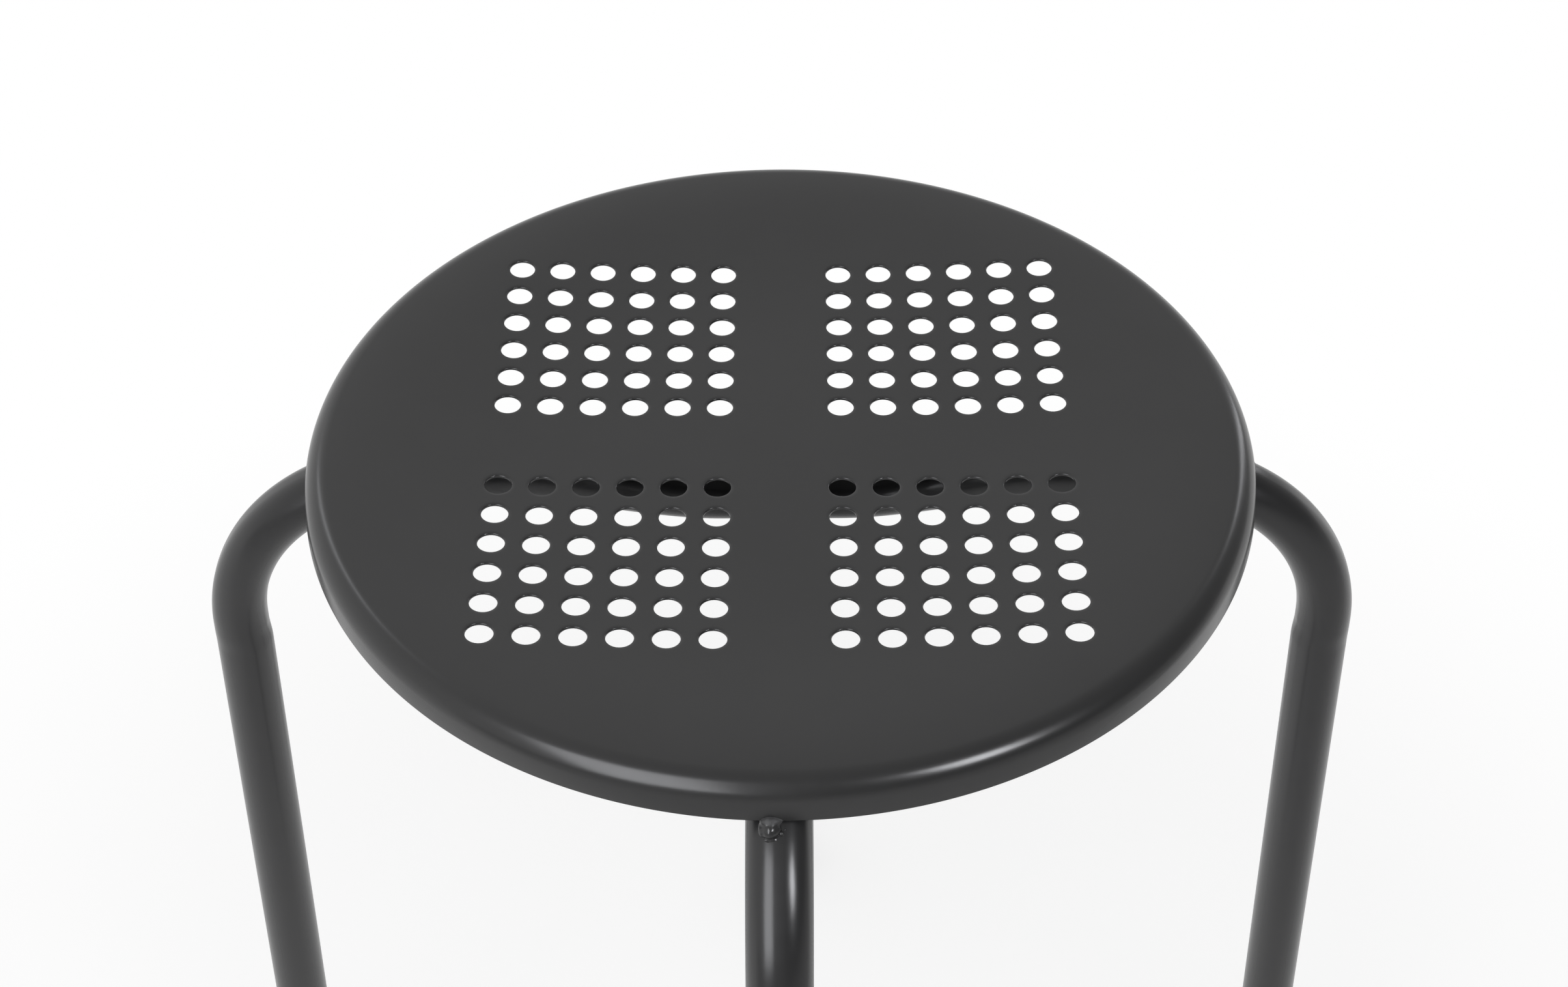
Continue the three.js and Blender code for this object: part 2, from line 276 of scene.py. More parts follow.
def rim_profile():
    """Radius and height from the crest out, down the leaning skirt, round its cut edge and back up inside."""
    centre = np.array([CREST_RADIUS, SEAT_HEIGHT - RIM_RADIUS])
    shares = np.arange(RIM_STEPS + 1) / RIM_STEPS
    angles = math.pi / 2 - shares * (math.pi / 2 - SKIRT_LEAN)
    roll = np.stack([np.cos(angles), np.sin(angles)], axis=-1)
    outside = centre + RIM_RADIUS * roll
    inside = centre + (RIM_RADIUS - SHEET) * roll

    out = roll[-1]
    down = np.array([out[1], -out[0]])
    corner = np.array([EDGE_RADIUS, SKIRT_BOTTOM])
    turns = (np.arange(ROUND_STEPS + 1) / ROUND_STEPS * math.pi / 2)[:, None]
    outer = corner - SHEET_EDGE * (out + down) + SHEET_EDGE * (out * np.cos(turns) + down * np.sin(turns))
    inner = corner - (SHEET - SHEET_EDGE) * out - SHEET_EDGE * down
    inner = inner + SHEET_EDGE * (down * np.cos(turns) - out * np.sin(turns))
    return np.concatenate([outside, outer, inner, inside[::-1]])


def build_seat():
    skin = Skin()
    lines = grid_lines()
    middle = (len(lines) - 1) // 2
    bare = (middle - 1, middle)
    for column in range(len(lines) - 1):
        for row in range(len(lines) - 1):
            cell = bare_cell if column in bare or row in bare else holed_cell
            cell(skin, lines[column], lines[column + 1], lines[row], lines[row + 1])

    # Bands from the square outline of the grid to the round crest
    stops = np.concatenate([
        np.linspace(start, end, EDGE_STEPS, endpoint=False) for start, end in zip(lines, lines[1:])
    ])
    last = np.full_like(stops, lines[-1])
    outline = np.concatenate([
        np.stack([stops, -last], axis=-1),
        np.stack([last, stops], axis=-1),
        np.stack([-stops, last], axis=-1),
        np.stack([-last, -stops], axis=-1),
    ])
    starts = np.hypot(outline[:, 0], outline[:, 1])
    directions = outline / starts[:, None]
    rings = []
    for step in range(DISH_STEPS + 1):
        radii = starts + (CREST_RADIUS - starts) * step / DISH_STEPS
        rings.append(directions * radii[:, None])
    skin.band([on_dish(ring) for ring in rings])
    skin.band([on_dish(ring, SHEET) for ring in rings])

    # Rim
    skin.band([
        np.concatenate([directions * radius, np.full((len(directions), 1), height)], axis=-1)
        for radius, height in rim_profile()
    ])
    return skin


# Frames

def centreline(distance):
    """Place of the tube's middle line at a distance along it from the stool's middle, and its turn down."""
    along = abs(distance)
    side = math.copysign(1, distance)
    turn = min(max((along - BEND_START) / BEND_RADIUS, 0), LEG_TURN)
    leg = max(along - BEND_START - BEND_LENGTH, 0)
    out = min(along, BEND_START) + BEND_RADIUS * math.sin(turn) + leg * math.cos(turn)
    up = BEND_CENTRE_HEIGHT + BEND_RADIUS * math.cos(turn) - leg * math.sin(turn)
    return side * out, up, side * turn


def bend_squash(along):
    """How much thinner the tube is at a distance along its bend."""
    middle = math.sin(math.pi * min(max(along / BEND_LENGTH, 0), 1))
    start = smooth(along / SQUASH_START_RUN)
    end = smooth((BEND_LENGTH + SQUASH_OVERRUN - along) / SQUASH_END_RUN)
    return BEND_SQUASH * (LEAST_SQUASH_SHARE + (1 - LEAST_SQUASH_SHARE) * middle) * start * end


def tube_ring(distance, sink, growth):
    """One ring round a frame in the XZ plane, crimped near the middle and a little flattened in its bends."""
    out, up, turn = centreline(distance)
    crimped = 1 - smooth((abs(distance) - CRIMP_FLAT) / CRIMP_RUN)
    squash = bend_squash(abs(distance) - BEND_START)
    half = TUBE_RADIUS - crimped * (TUBE_RADIUS - CRIMP_HEIGHT / 2) - squash / 2
    flat = math.pi / 2 * (TUBE_RADIUS - half)
    lift = TUBE_RADIUS - half - crimped * sink
    angles = (np.arange(TUBE_SIDES) + 0.5) / TUBE_SIDES * 2 * math.pi
    across = np.sign(np.cos(angles)) * flat + (half + growth) * np.cos(angles)
    away = lift + (half + growth) * np.sin(angles)
    return np.stack([out + away * math.sin(turn), across, up + away * math.cos(turn)], axis=-1)


def frame_stations():
    """Distances of the rings from one end of a frame to the other."""
    bend_end = BEND_START + BEND_LENGTH
    squash_end = bend_end + SQUASH_OVERRUN
    end = bend_end + LEG_LENGTH
    half = list(np.linspace(CRIMP_FLAT, CRIMP_FLAT + CRIMP_RUN, CRIMP_STEPS + 1))
    half += list(np.linspace(BEND_START, bend_end, BEND_STEPS + 1))
    half += list(np.linspace(bend_end, squash_end, OVERRUN_STEPS + 1)[1:])
    half += list(np.linspace(squash_end, end - CUT_ROUND, LEG_STEPS + 1)[1:])
    return [-place for place in reversed(half)] + half


def cut_end(distance, sink):
    """Rings round a tube's cut end, from its outside over the rounded edge to its bore."""
    side = math.copysign(1, distance)
    rings = []
    for step in range(1, ROUND_STEPS + 1):
        angle = step / ROUND_STEPS * math.pi / 2
        place = distance + side * CUT_ROUND * math.sin(angle)
        rings.append(tube_ring(place, sink, -CUT_ROUND * (1 - math.cos(angle))))
    rings.append(tube_ring(distance + side * CUT_ROUND, sink, -TUBE_WALL))
    return rings


def build_frame(sink, quarter):
    stations = frame_stations()
    outside = [tube_ring(place, sink, 0) for place in stations]
    inside = [tube_ring(place, sink, -TUBE_WALL) for place in stations]
    start, end = cut_end(stations[0], sink), cut_end(stations[-1], sink)
    rings = start[::-1] + outside + end
    bore = start[-1:] + inside + end[-1:]
    skin = Skin()
    skin.band([quarter_turn(ring, quarter) for ring in rings])
    skin.band([quarter_turn(ring, quarter) for ring in bore])
    return skin


# Feet

def foot_profile():
    """Radius and height from the middle of the sole, round the head and up the plug's ribs to its top."""
    profile = [(0, 0)]
    for step in range(FOOT_ROUND_STEPS + 1):
        angle = step / FOOT_ROUND_STEPS * math.pi / 2
        radius = FOOT_RADIUS - FOOT_ROUND * (1 - math.sin(angle))
        profile.append((radius, FOOT_ROUND * (1 - math.cos(angle))))
    for step in range(FOOT_ROUND_STEPS + 1):
        angle = step / FOOT_ROUND_STEPS * math.pi / 2
        radius = FOOT_RADIUS - FOOT_TOP_ROUND * (1 - math.cos(angle))
        profile.append((radius, FOOT_HEAD - FOOT_TOP_ROUND * (1 - math.sin(angle))))
    profile.append((PLUG_CORE_RADIUS, FOOT_HEAD))
    for rib in range(1, int((PLUG_LENGTH - RIB_HEIGHT) / RIB_PITCH) + 1):
        middle = FOOT_HEAD + rib * RIB_PITCH
        profile.append((PLUG_CORE_RADIUS, middle - RIB_HEIGHT / 2))
        profile.append((RIB_RADIUS, middle))
        profile.append((PLUG_CORE_RADIUS, middle + RIB_HEIGHT / 2))
    profile.append((PLUG_CORE_RADIUS, FOOT_HEAD + PLUG_LENGTH))
    profile.append((0, FOOT_HEAD + PLUG_LENGTH))
    return profile


def build_foot(quarter):
    """A foot in line with its splayed leg, its sole level on the floor."""
    angles = np.arange(FOOT_SIDES) / FOOT_SIDES * 2 * math.pi
    lean = np.array(Matrix.Rotation(-SPLAY, 3, "Y"))
    rings = []
    for radius, height in foot_profile():
        heights = np.full_like(angles, height)
        ring = np.stack([radius * np.cos(angles), radius * np.sin(angles), heights], axis=-1)
        ring = ring @ lean.T + (FOOT_PLACE, 0, 0)
        if height == 0:
            ring[:, 2] = 0
        ring[:, 2] = np.maximum(ring[:, 2], 0)
        rings.append(quarter_turn(ring, quarter))
    skin = Skin()
    skin.band(rings)
    return skin


# Welds

NET_VOXEL = 0.14 * MM


def surface_net(distance, low, high):
    """Points and quads of the closed surface on which the signed distance is zero, inside a box."""
    axes = [np.arange(start, end, NET_VOXEL) for start, end in zip(low, high)]
    field = distance(*np.meshgrid(*axes, indexing="ij"))
    cells = tuple(size - 1 for size in field.shape)

    def corner(offset):
        return field[tuple(slice(step, step + size) for step, size in zip(offset, cells))]

    total = np.zeros(cells + (3,))
    crossings = np.zeros(cells)
    corners = [(x, y, z) for x in (0, 1) for y in (0, 1) for z in (0, 1)]
    for start in corners:
        for axis in range(3):
            if start[axis]:
                continue
            end = tuple(step + (place == axis) for place, step in enumerate(start))
            near, far = corner(start), corner(end)
            crossed = (near < 0) != (far < 0)
            share = np.where(crossed, near / np.where(crossed, near - far, 1), 0)
            crossings += crossed
            total += crossed[..., None] * np.array(start)
            total[..., axis] += share
    active = crossings > 0
    ids = np.full(cells, -1)
    ids[active] = np.arange(active.sum())
    places = np.argwhere(active) + total[active] / crossings[active][:, None]
    points = places * NET_VOXEL + np.array([axis[0] for axis in axes])

    quads = []
    for axis in range(3):
        inside = field < 0
        ahead = np.roll(inside, -1, axis=axis)
        edges = np.argwhere(inside != ahead)
        edges = edges[np.all(edges > 0, axis=1) & np.all(edges < cells, axis=1)]
        first, second = np.roll(np.eye(3, dtype=int), -axis, axis=0)[1:]
        loop = [edges - first - second, edges - second, edges, edges - first]
        quads.append(np.stack([ids[tuple(cell.T)] for cell in loop], axis=-1))
    return points, np.concatenate(quads)


def blended(first, second, width):
    """Two signed distances joined, with a fillet about as wide as the width."""
    share = np.clip(width - np.abs(first - second), 0, None) / width
    return np.minimum(first, second) - share * share * width / 4


def ellipsoid(x, y, z, radii):
    """About the signed distance to an ellipsoid round the origin."""
    scaled = np.sqrt(sum((place / radius) ** 2 for place, radius in zip((x, y, z), radii)))
    steep = np.sqrt(sum((place / radius**2) ** 2 for place, radius in zip((x, y, z), radii)))
    return np.where(steep > 0, scaled * (scaled - 1) / np.where(steep > 0, steep, 1), -min(radii))


def stadium(across, away, half):
    """Signed distance to a squeezed tube's section, whose flat is as wide as the tube's girth leaves."""
    flat = math.pi / 2 * (TUBE_RADIUS - half)
    return np.hypot(np.maximum(np.abs(across) - flat, 0), away) - half


def lumps(x, y, z, phase):
    """Small swellings and hollows of weld metal."""
    waves = [math.tau / length for length in LUMP_LENGTHS]
    first = np.sin(waves[0] * x + phase) * np.sin(waves[1] * y + 2 * phase)
    second = np.sin(waves[1] * z + 3 * phase) * np.sin(waves[2] * (x + y))
    return LUMP_HEIGHT * (first + second) / 2


def laid_on(metal, steels, toes):
    """Weld metal that runs out on the steels, with a toe as wide as each steel's number in toes.

    It ends just under the steel's surface and stays shallow in it.
    """
    steel = steels[0]
    joined = metal
    for other, toe in zip(steels, toes):
        steel = np.minimum(steel, other)
        joined = np.minimum(joined, blended(metal, other, toe))
    sunk = BEAD_DIP * (1 - smooth((steel - joined) / BEAD_FEATHER))
    return np.maximum(np.maximum(joined + sunk, -steel - BEAD_BURIED), metal - max(toes))


LUMP_LENGTHS = (3.4 * MM, 2.6 * MM, 2.1 * MM)
LUMP_HEIGHT = 0.04 * MM
BEAD_DIP = 0.1 * MM
BEAD_FEATHER = 0.06 * MM
BEAD_BURIED = 0.35 * MM

# Rim beads: blobs of metal, in millimetres. The first three numbers of each are its place, down the slope from
# the skirt's edge, to the side and above the tube. The last three are its radii in the same directions.
RIM_BLOBS = (
    (-0.4, 0.1, 1.4, 2.3, 3.3, 2.1),
    (2.0, 0, 0.6, 2.7, 3.2, 1.9),
    (2.1, 0, 0.9, 2.7, 2.2, 2.3),
    (-0.8, 2.7, 1.8, 0.7, 1.4, 0.7),
    (1.6, -2.7, 0.3, 2.4, 0.9, 0.9),
    (5.0, -0.2, 0.15, 0.55, 1.9, 0.5),
)
RIM_TOES = (0.4 * MM, 0.2 * MM)  # on the tube and on the skirt
RIM_BLOB_JOIN = 0.7 * MM
RIM_SHIFTS = {"right": 2.2 * MM, "back": -2.6 * MM, "left": -2.2 * MM, "front": -2.6 * MM}  # to the side
RIM_SIZE_SHARES = {"right": 0.45, "back": 1, "left": 0.45, "front": 1}  # of the sizes of blobs and spatter
RIM_REACH = 9.5 * MM  # of the box in which a rim bead is made, round its middle
RIM_MIDDLE = 2.6 * MM  # down the slope

# Spatter, in millimetres: place down the slope from the skirt's edge, place to the side of the bead, radius
SPATTER = (
    (3.1, 3.3, 0.8),
    (1.9, 4.4, 0.32),
    (1.4, 5.2, 0.18),
    (2.7, 5.0, 0.16),
    (0.9, 4.4, 0.15),
    (6.3, 3.6, 0.2),
    (5.2, -4.0, 0.22),
)
DROP_LIFT_SHARE = 0.35  # how far a drop's middle is above the tube, as a share of its radius
DROP_SIDES = 20
DROP_RINGS = 12


def slope_turn(slope):
    """Turn of the bend at a distance down its slope from the skirt's edge."""
    return SKIRT_TURN + slope / OUTER_BEND


def over_bend(slope, across, lift):
    """A place over the outside of the bend towards +X."""
    turn = slope_turn(slope)
    out = BEND_START + (OUTER_BEND + lift) * math.sin(turn)
    up = BEND_CENTRE_HEIGHT + (OUTER_BEND + lift) * math.cos(turn)
    return out, across, up


def crown_drop(across):
    """How far the tube's outside falls off at a distance to the side of its crown."""
    return TUBE_RADIUS - math.sqrt(TUBE_RADIUS**2 - across**2)


def rim_metal(x, y, z, shift, unit, phase):
    """About the signed distance to the blobs of a rim bead that is shifted to the side of the tube."""
    metal = None
    for slope, across, lift, *radii in RIM_BLOBS:
        out, side, up = over_bend(slope * unit, shift + across * unit, lift * unit - crown_drop(shift))
        turn = slope_turn(slope * unit)
        along = (x - out) * math.cos(turn) - (z - up) * math.sin(turn)
        away = (x - out) * math.sin(turn) + (z - up) * math.cos(turn)
        blob = ellipsoid(along, y - side, away, [radius * unit for radius in radii])
        metal = blob if metal is None else blended(metal, blob, RIM_BLOB_JOIN)
    return metal - lumps(x, y, z, phase)


def bend_steel(x, y, z):
    """Signed distance to the tube near the skirt."""
    half = TUBE_RADIUS - bend_squash(BEND_RADIUS * SKIRT_TURN) / 2
    away = np.hypot(x - BEND_START, z - BEND_CENTRE_HEIGHT) - BEND_RADIUS
    return stadium(y, away - (TUBE_RADIUS - half), half)


def skirt_steel(x, y, z):
    """About the signed distance to the leaning skirt with its rounded edge."""
    middle = EDGE_RADIUS - SHEET / 2 - (z - SKIRT_BOTTOM) * SKIRT_SLANT
    past = np.abs(np.hypot(x, y) - middle) - (SHEET / 2 - SHEET_EDGE)
    below = SKIRT_BOTTOM + SHEET_EDGE - z
    outside = np.hypot(np.maximum(past, 0), np.maximum(below, 0))
    return outside + np.minimum(np.maximum(past, below), 0) - SHEET_EDGE


def add_drop(skin, place, radius, turn):
    """A drop of spatter, a ball that sits in the tube's coat."""
    tilt = np.array(Matrix.Rotation(turn, 3, "Y"))
    angles = np.arange(DROP_SIDES) / DROP_SIDES * math.tau
    rings = []
    for step in range(DROP_RINGS + 1):
        fall = step / DROP_RINGS * math.pi
        ring = radius * np.stack([
            math.sin(fall) * np.cos(angles),
            math.sin(fall) * np.sin(angles),
            np.full_like(angles, math.cos(fall)),
        ], axis=-1)
        rings.append(ring @ tilt.T + place)
    skin.band(rings)


def build_rim_bead(side):
    quarter = SIDES.index(side)
    shift = RIM_SHIFTS[side]
    unit = RIM_SIZE_SHARES[side] * MM

    def distance(x, y, z):
        metal = rim_metal(x, y, z, shift, unit, quarter)
        return laid_on(metal, [bend_steel(x, y, z), skirt_steel(x, y, z)], RIM_TOES)

    middle = np.array(over_bend(RIM_MIDDLE, shift, 0))
    points, quads = surface_net(distance, middle - RIM_REACH, middle + RIM_REACH)
    skin = Skin()
    skin.add(quarter_turn(points, quarter), quads)
    for slope, across, radius in SPATTER:
        aside = shift + across * unit
        lift = DROP_LIFT_SHARE * radius * unit - crown_drop(aside)
        place = np.array(over_bend(slope * unit, aside, lift))
        ball = Skin()
        add_drop(ball, place, radius * unit, slope_turn(slope * unit))
        skin.add(quarter_turn(np.concatenate(ball.points), quarter), np.concatenate(ball.quads))
    return skin


# Crossing beads: blobs in a row along the upper tube's side. The numbers of each are its place in millimetres
# along the tube, out from its side and above the lower tube, and its radii in the same directions.
CROSSING_BLOBS = (
    (-5.6, 0.2, 0.3, 2.2, 2.6, 2.3),
    (-3.2, 0.7, 0.4, 2.3, 3.0, 2.6),
    (-0.6, 0.9, 0.5, 2.3, 3.2, 2.7),
    (2.0, 0.8, 0.4, 2.3, 3.1, 2.7),
    (4.4, 0.6, 0.3, 2.3, 2.8, 2.4),
    (6.2, 0.3, 0.1, 1.6, 2.2, 1.9),
)
CROSSING_TOES = (0.6 * MM, 0.6 * MM)
CROSSING_BLOB_JOIN = 0.5 * MM
CROSSING_REACHES = (6.5 * MM, 9.5 * MM, 5 * MM)
CRIMP_HALF = CRIMP_HEIGHT / 2
CRIMP_EDGE = math.pi / 2 * (TUBE_RADIUS - CRIMP_HALF) + CRIMP_HALF


def upper_steel(x, y, z):
    """Signed distance to the front to back tube where it is crimped."""
    return stadium(x, z - (FRAME_TOP - CRIMP_HALF), CRIMP_HALF)


def lower_steel(x, y, z):
    """Signed distance to the side tube where it is crimped."""
    return stadium(y, z - (FRAME_TOP - CRIMP_HEIGHT - GAP - CRIMP_HALF), CRIMP_HALF)


def build_crossing_bead(half):
    """The bead on the +X side of the upper tube, or after half a turn the one on the -X side."""
    seam = np.array([CRIMP_EDGE, 0, FRAME_TOP - CRIMP_HEIGHT])

    def distance(x, y, z):
        metal = None
        for along, out, up, long_radius, out_radius, up_radius in CROSSING_BLOBS:
            place = seam + np.array([out, along, up]) * MM
            radii = [out_radius * MM, long_radius * MM, up_radius * MM]
            blob = ellipsoid(x - place[0], y - place[1], z - place[2], radii)
            metal = blob if metal is None else blended(metal, blob, CROSSING_BLOB_JOIN)
        metal = metal - lumps(x, y, z, 1 + half)
        return laid_on(metal, [upper_steel(x, y, z), lower_steel(x, y, z)], CROSSING_TOES)

    reaches = np.array(CROSSING_REACHES)
    points, quads = surface_net(distance, seam - reaches, seam + reaches)
    skin = Skin()
    skin.add(quarter_turn(points, 2 * half), quads)
    return skin


# Materials

def light(level):
    """An sRGB level from 0 to 255 as linear light."""
    share = level / 255
    return share / 12.92 if share <= 0.04045 else ((share + 0.055) / 1.055) ** 2.4


def tone(red, green, blue):
    return light(red), light(green), light(blue), 1


def add_noise(tree, size, detail=2):
    """Noise whose lumps are about as large as the size."""
    coordinates = tree.nodes.new("ShaderNodeTexCoord")
    noise = tree.nodes.new("ShaderNodeTexNoise")
    noise.inputs["Scale"].default_value = 1 / size
    noise.inputs["Detail"].default_value = detail
    tree.links.new(coordinates.outputs["Object"], noise.inputs["Vector"])
    return noise


def mottled_material(name, dark, pale, mottle_size, roughest, smoothest, gloss_size, bumps):
    """A surface whose tone and roughness wander a little, with bumps as pairs of size and height."""
    material = bpy.data.materials.new(name)
    material.use_nodes = True
    tree = material.node_tree
    shader = tree.nodes["Principled BSDF"]

    mottle = add_noise(tree, mottle_size)
    mix = tree.nodes.new("ShaderNodeMix")
    mix.data_type = "RGBA"
    mix.inputs["A"].default_value = dark
    mix.inputs["B"].default_value = pale
    tree.links.new(mottle.outputs["Fac"], mix.inputs["Factor"])
    tree.links.new(mix.outputs["Result"], shader.inputs["Base Color"])

    gloss = add_noise(tree, gloss_size)
    spread = tree.nodes.new("ShaderNodeMapRange")
    spread.inputs["To Min"].default_value = smoothest
    spread.inputs["To Max"].default_value = roughest
    tree.links.new(gloss.outputs["Fac"], spread.inputs["Value"])
    tree.links.new(spread.outputs["Result"], shader.inputs["Roughness"])

    normal = None
    for size, height in bumps:
        relief = add_noise(tree, size)
        bump = tree.nodes.new("ShaderNodeBump")
        bump.inputs["Distance"].default_value = height
        tree.links.new(relief.outputs["Fac"], bump.inputs["Height"])
        if normal:
            tree.links.new(normal, bump.inputs["Normal"])
        normal = bump.outputs["Normal"]
    tree.links.new(normal, shader.inputs["Normal"])
    return material


# Size and height of the lumps in each surface
ORANGE_PEEL = (1.3 * MM, 0.006 * MM)
COAT_GRAIN = (0.25 * MM, 0.0006 * MM)
MOULD_GRAIN = (0.6 * MM, 0.02 * MM)
MOULD_FINE_GRAIN = (0.15 * MM, 0.004 * MM)

# Size of the patches in which tone and gloss wander
MOTTLE_SIZE = 22 * MM
GLOSS_SIZE = 6 * MM
FOOT_MOTTLE_SIZE = 4 * MM
FOOT_GLOSS_SIZE = 2 * MM


def powder_coat(name, dark, pale, roughest, smoothest):
    """Satin powder coat: orange peel, a fine grain, and a tone and gloss that wander a little."""
    bumps = (ORANGE_PEEL, COAT_GRAIN)
    return mottled_material(name, dark, pale, MOTTLE_SIZE, roughest, smoothest, GLOSS_SIZE, bumps)


# Heights between which the coat of the rim beads turns rough, as it does under the skirt
ROUGH_START = 436.2 * MM
ROUGH_END = 436.6 * MM
ROUGH_RISE = 0.35


def roughen_upwards(material, low, high, rise):
    """Let a material's roughness rise between two heights."""
    tree = material.node_tree
    rough = tree.nodes["Principled BSDF"].inputs["Roughness"]
    even = rough.links[0].from_socket
    coordinates = tree.nodes.new("ShaderNodeTexCoord")
    axes = tree.nodes.new("ShaderNodeSeparateXYZ")
    ramp = tree.nodes.new("ShaderNodeMapRange")
    ramp.inputs["From Min"].default_value = low
    ramp.inputs["From Max"].default_value = high
    ramp.inputs["To Max"].default_value = rise
    total = tree.nodes.new("ShaderNodeMath")
    tree.links.new(coordinates.outputs["Object"], axes.inputs[0])
    tree.links.new(axes.outputs["Z"], ramp.inputs["Value"])
    tree.links.new(even, total.inputs[0])
    tree.links.new(ramp.outputs["Result"], total.inputs[1])
    tree.links.new(total.outputs[0], rough)


SEAT_COAT = powder_coat("seat_powder_coat", tone(49, 49, 49.5), tone(53, 53, 53.5), 0.27, 0.22)
TUBE_COAT = powder_coat("tube_powder_coat", tone(46.5, 46.5, 47.5), tone(50.5, 50.5, 51.5), 0.28, 0.23)
# The beads wear the same powder coat as the seat and tubes; theirs is painted paler, as painted light for the
# light that falls on their tops.
WELD_COAT_PAINTED_LIGHTER = powder_coat("weld_powder_coat_painted_lighter", tone(51, 51, 52), tone(57, 57, 58), 0.24, 0.18)
roughen_upwards(WELD_COAT_PAINTED_LIGHTER, ROUGH_START, ROUGH_END, ROUGH_RISE)
FOOT_PLASTIC = mottled_material(
    "black_foot_plastic", tone(22, 22, 23), tone(27, 27, 28),
    FOOT_MOTTLE_SIZE, 0.62, 0.5, FOOT_GLOSS_SIZE, (MOULD_GRAIN, MOULD_FINE_GRAIN),
)


# Pieces

make_piece("perforated_seat", build_seat(), SEAT_COAT, "seat_coat", "seat_pan")
make_piece("side_tube", build_frame(CRIMP_HEIGHT + GAP, 0), TUBE_COAT, "tube_coat", "side_frame")
make_piece("front_back_tube", build_frame(0, 1), TUBE_COAT, "tube_coat", "front_back_frame")
for quarter, side in enumerate(SIDES):
    make_piece("foot_plug_" + side, build_foot(quarter), FOOT_PLASTIC, "foot_plastic", "foot_" + side)
    make_piece("rim_bead_" + side, build_rim_bead(side), WELD_COAT_PAINTED_LIGHTER, "weld_coat", "rim_weld_" + side)
for half, side in enumerate(("right", "left")):
    bead = build_crossing_bead(half)
    make_piece("crossing_bead_" + side, bead, WELD_COAT_PAINTED_LIGHTER, "weld_coat", "crossing_weld_" + side)


# Floor

FLOOR_REACH = 30
FLOOR_TONE = 0.95
SEEN_TONE = 0.45  # of the white floor as camera, glossy and transmission rays see it
FLOOR_GLOW = 0.69  # which the same rays see on top, as a share of plain white
WHITE_SIDE = (-0.35, 1, 0)  # towards which the floor turns white in reflections
WHITE_START, WHITE_END = -0.5, -0.02  # places in that direction between which it does
PLAIN_START, PLAIN_END = 0.3, 0.65  # distances from the middle between which the white loses its shading


def floor_material():
    """Pale floor that looks white and keeps its shadow near the stool. Reflections of its front are darker."""
    material = bpy.data.materials.new("pale_floor")
    material.use_nodes = True
    tree = material.node_tree
    nodes, links = tree.nodes, tree.links
    nodes.remove(nodes["Principled BSDF"])

    def combined(operation, first, second):
        node = nodes.new("ShaderNodeMath")
        node.operation = operation
        links.new(first, node.inputs[0])
        links.new(second, node.inputs[1])
        return node.outputs[0]

    def spread(value, start, end, first=0, last=1, form="LINEAR"):
        node = nodes.new("ShaderNodeMapRange")
        node.interpolation_type = form
        node.inputs["From Min"].default_value = start
        node.inputs["From Max"].default_value = end
        node.inputs["To Min"].default_value = first
        node.inputs["To Max"].default_value = last
        links.new(value, node.inputs["Value"])
        return node.outputs["Result"]

    coordinates = nodes.new("ShaderNodeTexCoord")
    side = nodes.new("ShaderNodeVectorMath")
    side.operation = "DOT_PRODUCT"
    side.inputs[1].default_value = WHITE_SIDE
    links.new(coordinates.outputs["Object"], side.inputs[0])
    length = nodes.new("ShaderNodeVectorMath")
    length.operation = "LENGTH"
    links.new(coordinates.outputs["Object"], length.inputs[0])
    side_share = spread(side.outputs["Value"], WHITE_START, WHITE_END, form="SMOOTHSTEP")
    paths = nodes.new("ShaderNodeLightPath")
    mirrored = combined("MAXIMUM", paths.outputs["Is Glossy Ray"], paths.outputs["Is Transmission Ray"])
    mirrored_share = combined("MULTIPLY", mirrored, side_share)
    white_share = combined("MAXIMUM", paths.outputs["Is Camera Ray"], mirrored_share)
    far_share = spread(length.outputs["Value"], PLAIN_START, PLAIN_END, form="SMOOTHSTEP")

    matt = nodes.new("ShaderNodeBsdfDiffuse")
    links.new(spread(white_share, 0, 1, FLOOR_TONE, SEEN_TONE), matt.inputs["Color"])
    glow = nodes.new("ShaderNodeEmission")
    links.new(spread(white_share, 0, 1, 0, FLOOR_GLOW), glow.inputs["Strength"])
    near = nodes.new("ShaderNodeAddShader")
    links.new(matt.outputs[0], near.inputs[0])
    links.new(glow.outputs[0], near.inputs[1])
    white = nodes.new("ShaderNodeEmission")
    mixed = nodes.new("ShaderNodeMixShader")
    links.new(combined("MULTIPLY", white_share, far_share), mixed.inputs["Fac"])
    links.new(near.outputs[0], mixed.inputs[1])
    links.new(white.outputs[0], mixed.inputs[2])
    links.new(mixed.outputs[0], nodes["Material Output"].inputs["Surface"])
    return material


def make_floor():
    mesh = bpy.data.meshes.new("floor")
    corners = [(-FLOOR_REACH, -FLOOR_REACH, 0), (FLOOR_REACH, -FLOOR_REACH, 0)]
    corners += [(FLOOR_REACH, FLOOR_REACH, 0), (-FLOOR_REACH, FLOOR_REACH, 0)]
    mesh.from_pydata(corners, [], [(0, 1, 2, 3)])
    mesh.materials.append(floor_material())
    floor = bpy.data.objects.new("floor", mesh)
    bpy.context.scene.collection.objects.link(floor)


make_floor()


# Light

STUDIO_WHITE = 0.56  # average over all directions
STUDIO_SLOPE = (-0.36, 0.24, -0.17)  # how much whiter the studio is to the right, behind and overhead


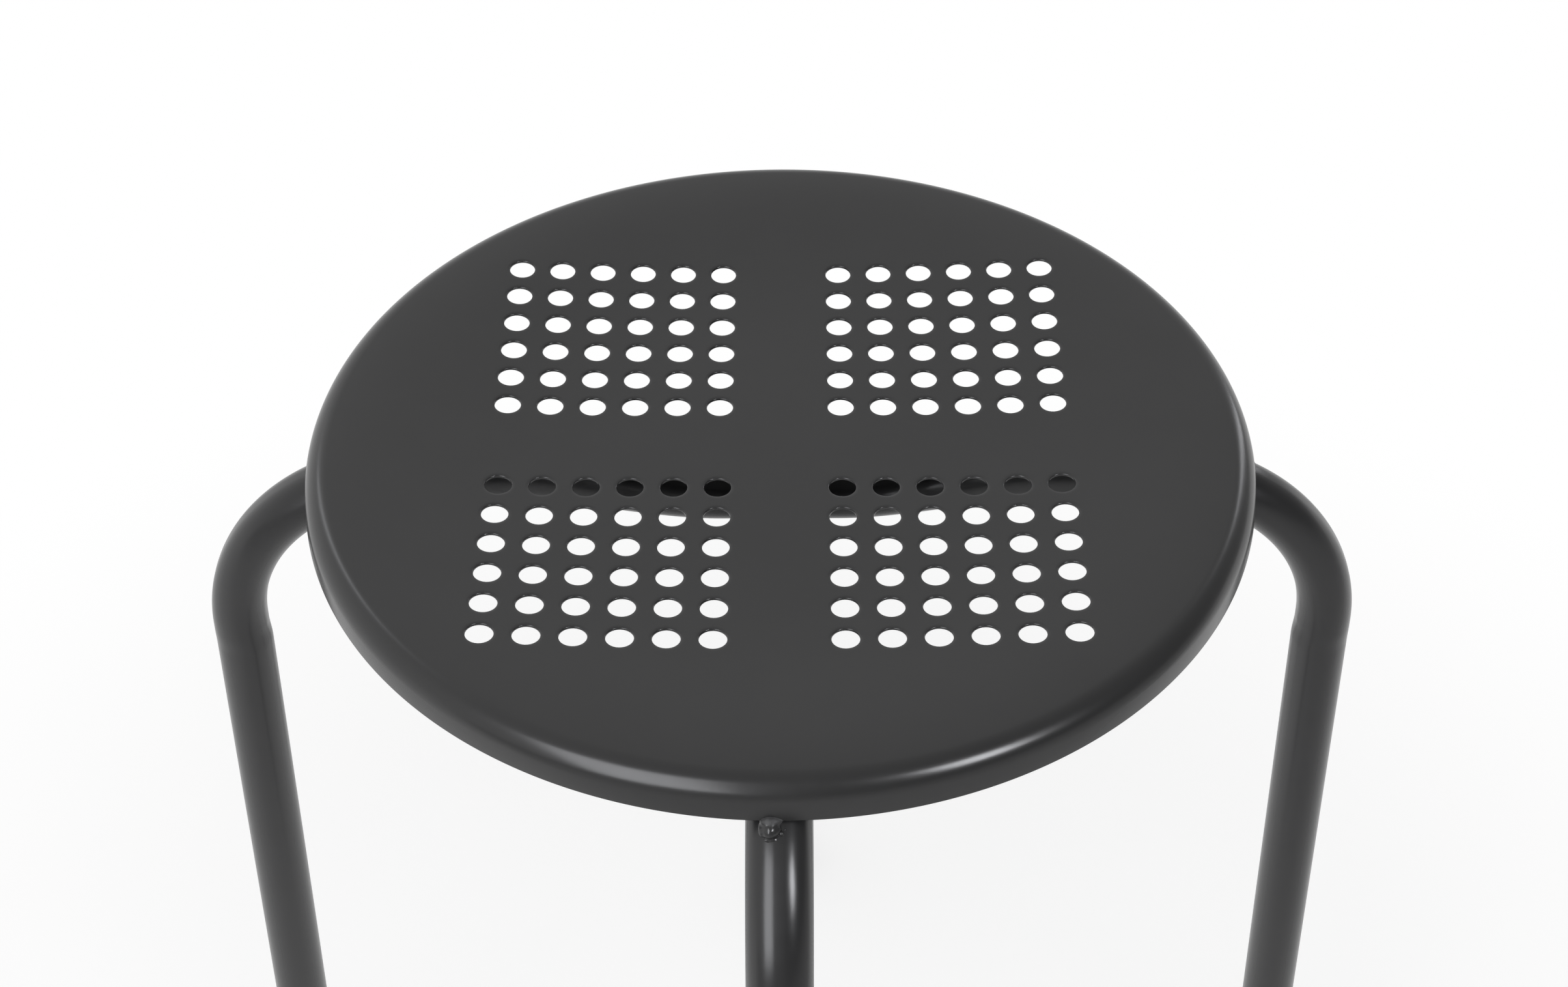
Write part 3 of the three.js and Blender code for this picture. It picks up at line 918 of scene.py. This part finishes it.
def make_world():
    """A pale studio, whiter to the left and behind than to the right, in front and overhead."""
    world = bpy.data.worlds.new("studio")
    bpy.context.scene.world = world
    world.use_nodes = True
    tree = world.node_tree
    coordinates = tree.nodes.new("ShaderNodeTexCoord")
    slope = tree.nodes.new("ShaderNodeVectorMath")
    slope.operation = "DOT_PRODUCT"
    slope.inputs[1].default_value = STUDIO_SLOPE
    tree.links.new(coordinates.outputs["Generated"], slope.inputs[0])
    white = tree.nodes.new("ShaderNodeMath")
    white.inputs[1].default_value = STUDIO_WHITE
    tree.links.new(slope.outputs["Value"], white.inputs[0])
    tree.links.new(white.outputs[0], tree.nodes["Background"].inputs["Color"])


LAMP_TARGET = Vector((0, -SEAT_RADIUS, SEAT_HEIGHT))
LAMP_DISTANCE = 1.5
COOL_WHITE = (0.955, 0.965, 1)

# Lamps: azimuth and elevation in degrees, width and length in metres, lean in degrees, and radiance
KEY_LAMP = (0, 52, 2, 1, 0, 1.7)
SOFT_BOXES = {
    "left_soft_box": (-34, 32, 0.86, 1.4, 20, 5.2),
    "right_soft_box": (48.5, 37.5, 0.4, 0.5, 0, 18),
    "left_rear_strip": (-137, 33, 0.1, 0.6, 0, 4),
    "right_rear_strip": (141, 20, 0.12, 0.7, 0, 5),
}


def make_lamp(name, azimuth, elevation, width, length, lean, radiance):
    """A soft rectangular lamp that faces the front of the seat.

    Azimuth is to the right of the front, and elevation above the seat. Lean turns the lamp's top to the left,
    as seen from behind the lamp.
    """
    data = bpy.data.lights.new(name, "AREA")
    data.shape = "RECTANGLE"
    data.size = width
    data.size_y = length
    data.energy = radiance * math.pi * width * length
    lamp = bpy.data.objects.new(name, data)
    bpy.context.scene.collection.objects.link(lamp)
    lamp.matrix_world = (
        Matrix.Translation(LAMP_TARGET)
        @ Matrix.Rotation(math.radians(azimuth), 4, "Z")
        @ Matrix.Rotation(math.radians(90 - elevation), 4, "X")
        @ Matrix.Translation((0, 0, LAMP_DISTANCE))
        @ Matrix.Rotation(math.radians(lean), 4, "Z")
    )
    return lamp


make_world()
key = make_lamp("key_lamp", *KEY_LAMP)
key.visible_glossy = False
for name, form in SOFT_BOXES.items():
    soft_box = make_lamp(name, *form)
    soft_box.data.color = COOL_WHITE
    soft_box.visible_diffuse = False


# Camera

CAMERA_PLACE = (5.37 * MM, -701.83 * MM, 1050.51 * MM)
CAMERA_PITCH = math.radians(41.789)  # below the horizon
CAMERA_YAW = math.radians(-0.341)
CAMERA_ROLL = math.radians(-0.399)
CAMERA_LENS = 62.847  # millimetres, on Blender's sensor of 36 mm

camera_data = bpy.data.cameras.new("camera")
camera_data.lens = CAMERA_LENS
camera = bpy.data.objects.new("camera", camera_data)
bpy.context.scene.collection.objects.link(camera)
camera.matrix_world = (
    Matrix.Translation(CAMERA_PLACE)
    @ Matrix.Rotation(-CAMERA_YAW, 4, "Z")
    @ Matrix.Rotation(math.pi / 2 - CAMERA_PITCH, 4, "X")
    @ Matrix.Rotation(CAMERA_ROLL, 4, "Z")
)
bpy.context.scene.camera = camera
bpy.context.scene.view_settings.view_transform = "Standard"
